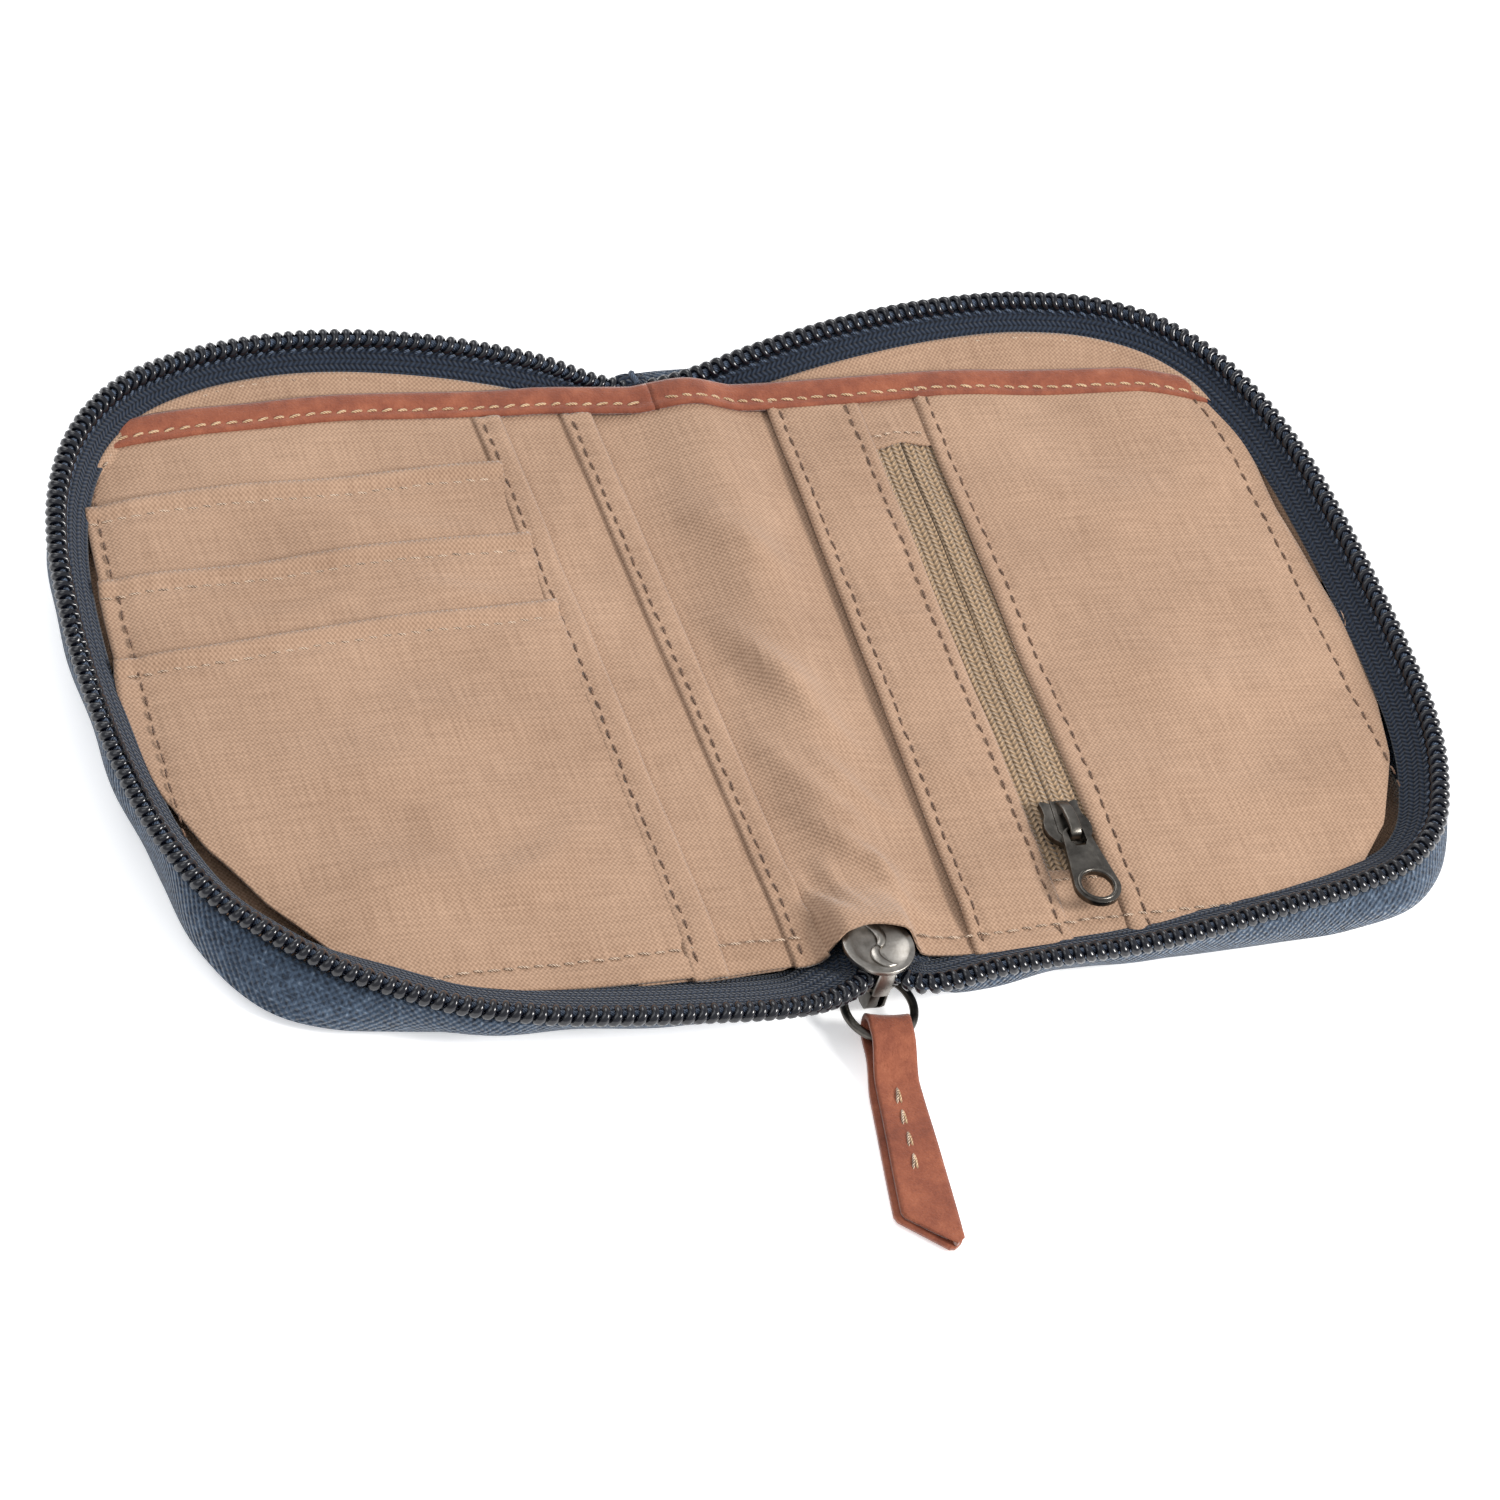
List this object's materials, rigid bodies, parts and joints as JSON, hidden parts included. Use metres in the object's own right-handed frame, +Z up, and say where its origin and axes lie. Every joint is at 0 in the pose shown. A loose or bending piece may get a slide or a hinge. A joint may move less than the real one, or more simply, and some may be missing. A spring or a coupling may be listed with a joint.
{
  "type": "passport holder",
  "caption": "Zip-around fabric passport holder lying open, with passport sleeves, stepped card slots, a zipped coin pocket, leather trim and a leather zip pull.",
  "frame": {"origin": "middle of the spine's flat underside, on the surface the open holder lies on", "axes": "+X across from the left cover (card slots) to the right cover (coin pocket), +Y along the spine from the parked slider to the leather trim, +Z up out of the open holder"},
  "size_m": [0.231, 0.1946, 0.0126],
  "materials": {
    "canvas": "coarse slate-blue woven canvas",
    "tape": "navy knitted zip tape",
    "coil": "glossy near-black navy nylon coil",
    "lining": "tan fine plain-weave lining with a soft sheen",
    "coin_tape": "beige coarse zip tape",
    "leather": "rust-coloured waxed leather with a fine grain",
    "gunmetal": "antique gunmetal plating, worn bright on the edges",
    "board": "plain white stiffening board"
  },
  "bodies": {
    "spine": {"spine_shell": "canvas", "spine_board": "board", "spine_lining": "lining", "organiser_fold": "lining", "leather_trim_fold": "leather", "zip_start_tab": "tape", "zip_end_tab": "tape"},
    "left_cover": {"left_cover_shell": "canvas", "left_gusset": "canvas", "left_board": "board", "left_lining": "lining", "left_zip_tape": "tape", "left_zip_coil": "coil", "left_organiser_panel": "lining", "left_leather_trim": "leather", "left_sleeve_panel": "lining", "left_sleeve_binding": "lining", "card_panel": "lining", "card_slot_1": "lining", "card_slot_2": "lining", "card_slot_3": "lining", "card_binding": "lining"},
    "right_cover": {"right_cover_shell": "canvas", "right_gusset": "canvas", "right_board": "board", "right_lining": "lining", "right_zip_tape": "tape", "right_zip_coil": "coil", "right_organiser_panel": "lining", "right_leather_trim": "leather", "coin_pocket_back": "lining", "coin_pocket_strip": "lining", "coin_pocket_front": "lining", "coin_zip_tape_inner": "coin_tape", "coin_zip_tape_outer": "coin_tape", "coin_zip_coil": "coin_tape", "coin_zip_stop_far": "lining", "coin_zip_stop_near": "lining"},
    "main_slider": {"main_slider_body": "gunmetal", "main_slider_lug": "gunmetal"},
    "pull_ring": {"pull_ring": "gunmetal"},
    "pull_tab": {"leather_pull_tab": "leather"},
    "coin_slider": {"coin_slider_body": "gunmetal", "coin_slider_bail": "gunmetal"},
    "coin_pull": {"coin_pull": "gunmetal"}
  },
  "joints": [
    {"name": "left_cover_fold", "type": "hinge", "parent": "spine", "child": "left_cover", "pos_m": [-0.0128, 0, 0.0008], "axis": [0, 1, 0], "range_deg": [0, 90]},
    {"name": "right_cover_fold", "type": "hinge", "parent": "spine", "child": "right_cover", "pos_m": [0.0128, 0, 0.0008], "axis": [0, -1, 0], "range_deg": [0, 90]},
    {"name": "main_slider_tilt", "type": "hinge", "parent": "spine", "child": "main_slider", "pos_m": [0, -0.06907, 0.01307], "axis": [-1, 0, 0], "range_deg": [0, 90]},
    {"name": "pull_ring_swing", "type": "hinge", "parent": "main_slider", "child": "pull_ring", "pos_m": [0, -0.0666, 0.0042], "axis": [1, 0, 0], "range_deg": [-15, 0]},
    {"name": "pull_tab_swing", "type": "hinge", "parent": "pull_ring", "child": "pull_tab", "pos_m": [0, -0.07754, 0.00266], "axis": [1, 0, 0], "range_deg": [-80, 0]},
    {"name": "coin_slider_run", "type": "slide", "parent": "right_cover", "child": "coin_slider", "axis": [0, 1, 0], "range_m": [0, 0.081]},
    {"name": "coin_pull_swing", "type": "hinge", "parent": "coin_slider", "child": "coin_pull", "pos_m": [0.0414, -0.0456, 0.011], "axis": [1, 0, 0], "range_deg": [-140, 0]}
  ]
}
